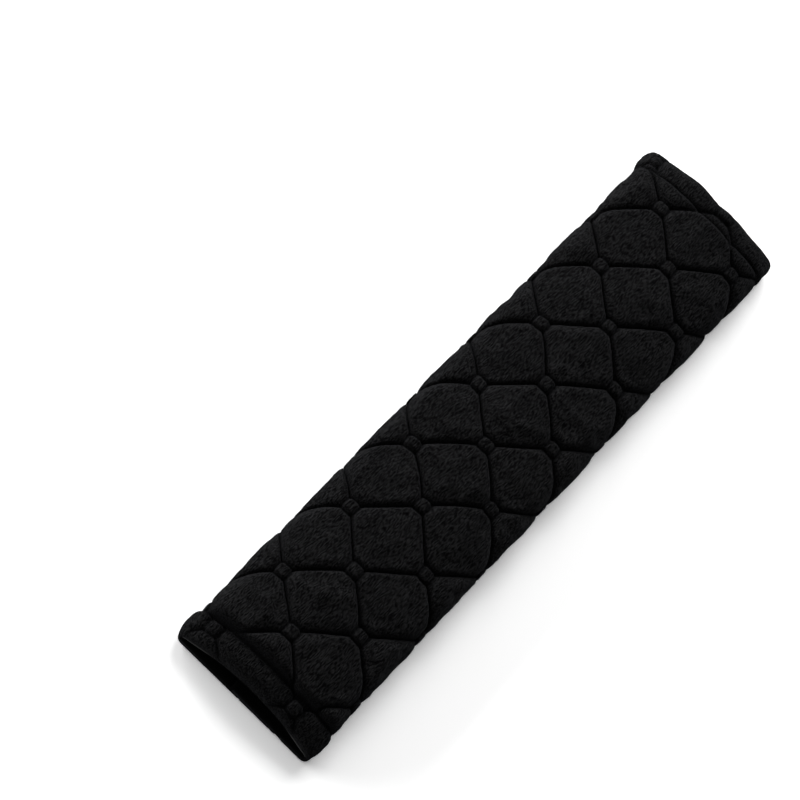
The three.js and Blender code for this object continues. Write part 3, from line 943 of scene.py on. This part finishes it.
def floor_material():
    """Plain white floor that keeps the pad's close shadow, and is white to the camera elsewhere."""
    material, make, link = new_material("white_floor")
    out = make("ShaderNodeOutputMaterial")
    lit = make("ShaderNodeBsdfDiffuse", Color=grey(FLOOR_COLOUR))
    seen = make("ShaderNodeBsdfDiffuse", Color=grey(FLOOR_SEEN_COLOUR))
    glow = make("ShaderNodeEmission", Color=grey(1))
    place = make("ShaderNodeTexCoord")
    away = make("ShaderNodeVectorMath", operation="LENGTH")
    link(place.outputs["Object"], away.inputs[0])
    far = make("ShaderNodeMapRange", clamp=True)
    far.inputs["From Min"].default_value, far.inputs["From Max"].default_value = GLOW_RISE
    far.inputs["To Min"].default_value = FLOOR_GLOW
    link(away.outputs["Value"], far.inputs["Value"])
    link(far.outputs[0], glow.inputs["Strength"])
    both = make("ShaderNodeAddShader")
    link(seen.outputs[0], both.inputs[0])
    link(glow.outputs[0], both.inputs[1])
    pick = make("ShaderNodeMixShader")
    link(seen_rays(make, link), pick.inputs["Fac"])
    link(lit.outputs[0], pick.inputs[1])
    link(both.outputs[0], pick.inputs[2])
    link(pick.outputs[0], out.inputs["Surface"])
    return material


def seen_rays(make, link):
    """1 for rays of the camera, of gloss and of glass, 0 for those that only light things."""
    path = make("ShaderNodeLightPath")
    total = path.outputs["Is Camera Ray"]
    for name in ("Is Glossy Ray", "Is Transmission Ray"):
        both = make("ShaderNodeMath", operation="MAXIMUM")
        link(total, both.inputs[0])
        link(path.outputs[name], both.inputs[1])
        total = both.outputs[0]
    return total


def make_stage():
    """The floor, and a world that gives a soft fill and is white to the camera."""
    half = FLOOR_HALF
    corners = [(-half, -half), (half, -half), (half, half), (-half, half)]
    mesh = bpy.data.meshes.new("floor")
    mesh.from_pydata([(x, y, -FLOOR_GAP) for x, y in corners], [], [(0, 1, 2, 3)])
    mesh.materials.append(floor_material())
    floor = linked("floor", mesh)

    world = bpy.data.worlds.new("studio")
    bpy.context.scene.world = world
    world.use_nodes = True
    world.node_tree.nodes.clear()
    make, link = node_maker(world.node_tree)
    out = make("ShaderNodeOutputWorld")
    fill = make("ShaderNodeBackground", Color=grey(1), Strength=FILL_STRENGTH)
    white = make("ShaderNodeBackground", Color=grey(1), Strength=1)
    pick = make("ShaderNodeMixShader")
    link(seen_rays(make, link), pick.inputs["Fac"])
    link(fill.outputs[0], pick.inputs[1])
    link(white.outputs[0], pick.inputs[2])
    link(pick.outputs[0], out.inputs["Surface"])


def add_area_light(name, place, size, power):
    """A rectangular lamp that looks at the middle of the pad's underside."""
    data = bpy.data.lights.new(name, "AREA")
    data.shape = "RECTANGLE"
    data.size, data.size_y = size
    data.energy = power
    lamp = bpy.data.objects.new(name, data)
    lamp.location = place
    lamp.rotation_euler = (-Vector(place)).to_track_quat("-Z", "Y").to_euler()
    bpy.context.scene.collection.objects.link(lamp)


def make_camera():
    """The photograph's camera: above the near end, rolled so that the pad lies aslant."""
    e, turn = CAMERA_ELEVATION, CAMERA_TURN
    back = Vector((-math.cos(e) * math.cos(turn), -math.cos(e) * math.sin(turn), math.sin(e)))
    right = Vector((math.sin(turn), -math.cos(turn), 0))
    up = back.cross(right)
    right, up = (
        math.cos(CAMERA_ROLL) * right + math.sin(CAMERA_ROLL) * up,
        math.cos(CAMERA_ROLL) * up - math.sin(CAMERA_ROLL) * right,
    )
    middle = PHOTO_PIXELS / 2
    across = (ORIGIN_PIXEL[0] - middle) / FOCAL_PIXELS
    down = (ORIGIN_PIXEL[1] - middle) / FOCAL_PIXELS
    ray = (across * right - down * up - back).normalized()
    data = bpy.data.cameras.new("camera")
    data.sensor_width = SENSOR_WIDTH
    data.lens = FOCAL_PIXELS / PHOTO_PIXELS * SENSOR_WIDTH
    camera = bpy.data.objects.new("camera", data)
    rows = Matrix((right, up, back)).transposed().to_4x4()
    camera.matrix_world = Matrix.Translation(-ray * CAMERA_DISTANCE) @ rows
    bpy.context.scene.collection.objects.link(camera)
    bpy.context.scene.camera = camera


def dress(piece, material, slot, *nodes):
    """Gives a piece its material and body, and hides the CAD nodes that it replaces; its slot is
    not used.
    """
    piece.data.materials.clear()
    piece.data.materials.append(material)
    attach(piece, "root")
    if nodes:
        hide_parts(*nodes)


make_camera()
make_stage()
add_area_light("key", KEY_PLACE, KEY_SIZE, KEY_POWER)
add_area_light("side", SIDE_PLACE, SIDE_SIZE, SIDE_POWER)

cover = make_cover()
dress(cover, pile_material(), "plush", "quilted_cover")
dress(make_lining(), knit_material(), "lining", "inner_lining")
foam = make_foam()
dress(foam, foam_material(), "foam", "foam_core")
dress(make_stitches(), thread_material(), "closing_tape")
for node, scale in (("hook_tape", 1100), ("loop_tape", 1700)):
    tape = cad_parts[node]
    tape.data.materials.clear()
    tape.data.materials.append(tape_material(node + "_nylon", scale))

bpy.context.scene.view_settings.view_transform = "Standard"
